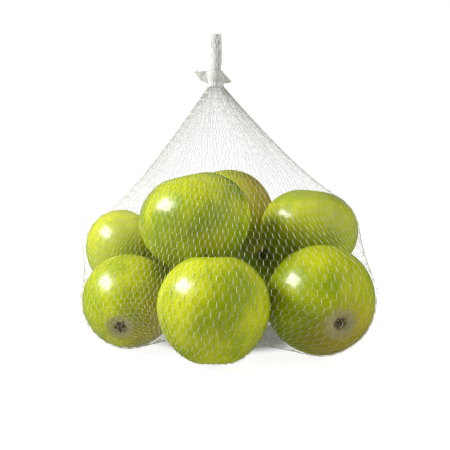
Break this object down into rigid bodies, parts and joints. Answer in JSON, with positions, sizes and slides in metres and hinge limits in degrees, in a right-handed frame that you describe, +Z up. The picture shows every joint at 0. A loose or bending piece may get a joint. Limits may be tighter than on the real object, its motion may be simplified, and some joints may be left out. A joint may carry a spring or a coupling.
{
  "type": "mesh produce bag",
  "caption": "Translucent knitted net bag of green apples, gathered by a clip at each end, with a film collar and a free tail at the top.",
  "frame": {"origin": "on the resting plane, under the middle of the bag's footprint", "axes": "+Z up; -Y towards the single low apple in front; +X to that apple's left, the viewer's right"},
  "size_m": [0.2048, 0.2302, 0.2168],
  "materials": {
    "net": "translucent white knitted plastic yarn",
    "collar_film": "satin film",
    "clip_wire": "plain wire",
    "apple_skin": "waxy fruit skin",
    "stem": "dry",
    "calyx": "dry"
  },
  "bodies": {
    "bag": {"net_sleeve": "net", "net_neck": "net", "closure_collar": "collar_film", "closure_clip": "clip_wire", "net_foot": "net", "foot_clip": "clip_wire"},
    "tail": {"net_tail": "net"},
    "apple_front": {"apple_front": "apple_skin", "apple_front_stem": "stem", "apple_front_calyx": "calyx"},
    "apple_front_left": {"apple_front_left": "apple_skin", "apple_front_left_stem": "stem", "apple_front_left_calyx": "calyx"},
    "apple_front_right": {"apple_front_right": "apple_skin", "apple_front_right_stem": "stem", "apple_front_right_calyx": "calyx"},
    "apple_top_front": {"apple_top_front": "apple_skin", "apple_top_front_stem": "stem", "apple_top_front_calyx": "calyx"},
    "apple_top_right": {"apple_top_right": "apple_skin", "apple_top_right_stem": "stem", "apple_top_right_calyx": "calyx"},
    "apple_top_back": {"apple_top_back": "apple_skin", "apple_top_back_stem": "stem", "apple_top_back_calyx": "calyx"},
    "apple_top_left": {"apple_top_left": "apple_skin", "apple_top_left_stem": "stem", "apple_top_left_calyx": "calyx"},
    "apple_middle": {"apple_middle": "apple_skin", "apple_middle_stem": "stem", "apple_middle_calyx": "calyx"},
    "apple_back_left": {"apple_back_left": "apple_skin", "apple_back_left_stem": "stem", "apple_back_left_calyx": "calyx"},
    "apple_back_right": {"apple_back_right": "apple_skin", "apple_back_right_stem": "stem", "apple_back_right_calyx": "calyx"}
  },
  "joints": [
    {"name": "tail_bend", "type": "hinge", "parent": "bag", "child": "tail", "pos_m": [-0.007, 0.008, 0.1948], "axis": [0, 1, 0], "range_deg": [-80, 80], "stiffness_Nm_per_rad": 0.0006},
    {"name": "front_apple_turn", "type": "hinge", "parent": "bag", "child": "apple_front", "pos_m": [-0.008, -0.076, 0.0372], "axis": [0, 0.1392, 0.9903], "continuous": true},
    {"name": "front_left_apple_turn", "type": "hinge", "parent": "bag", "child": "apple_front_left", "pos_m": [-0.067, -0.02, 0.0327], "axis": [0.1406, 0.8877, 0.4384], "continuous": true},
    {"name": "front_right_apple_turn", "type": "hinge", "parent": "bag", "child": "apple_front_right", "pos_m": [0.0645, -0.047, 0.038], "axis": [-0.3271, 0.8986, 0.2924], "continuous": true},
    {"name": "top_front_apple_turn", "type": "hinge", "parent": "bag", "child": "apple_top_front", "pos_m": [-0.0205, -0.023, 0.0885], "axis": [-0.2173, 0.0582, 0.9744], "continuous": true},
    {"name": "top_right_apple_turn", "type": "hinge", "parent": "bag", "child": "apple_top_right", "pos_m": [0.0585, 0.012, 0.0765], "axis": [0.121, 0.2095, 0.9703], "continuous": true},
    {"name": "top_back_apple_turn", "type": "hinge", "parent": "bag", "child": "apple_top_back", "pos_m": [-0.0005, 0.058, 0.079], "axis": [-0.604, 0.2198, 0.766], "continuous": true},
    {"name": "top_left_apple_turn", "type": "hinge", "parent": "bag", "child": "apple_top_left", "pos_m": [-0.072, 0.0345, 0.061], "axis": [0.4698, 0.171, 0.866], "continuous": true},
    {"name": "middle_apple_turn", "type": "hinge", "parent": "bag", "child": "apple_middle", "pos_m": [0.0055, 0.0068, 0.0327], "axis": [-0.8138, -0.2962, 0.5], "continuous": true},
    {"name": "back_left_apple_turn", "type": "hinge", "parent": "bag", "child": "apple_back_left", "pos_m": [-0.0455, 0.0825, 0.0315], "axis": [-0.117, -0.3214, 0.9397], "continuous": true},
    {"name": "back_right_apple_turn", "type": "hinge", "parent": "bag", "child": "apple_back_right", "pos_m": [0.0505, 0.0745, 0.03325], "axis": [0.2868, 0.4967, 0.8192], "continuous": true}
  ]
}
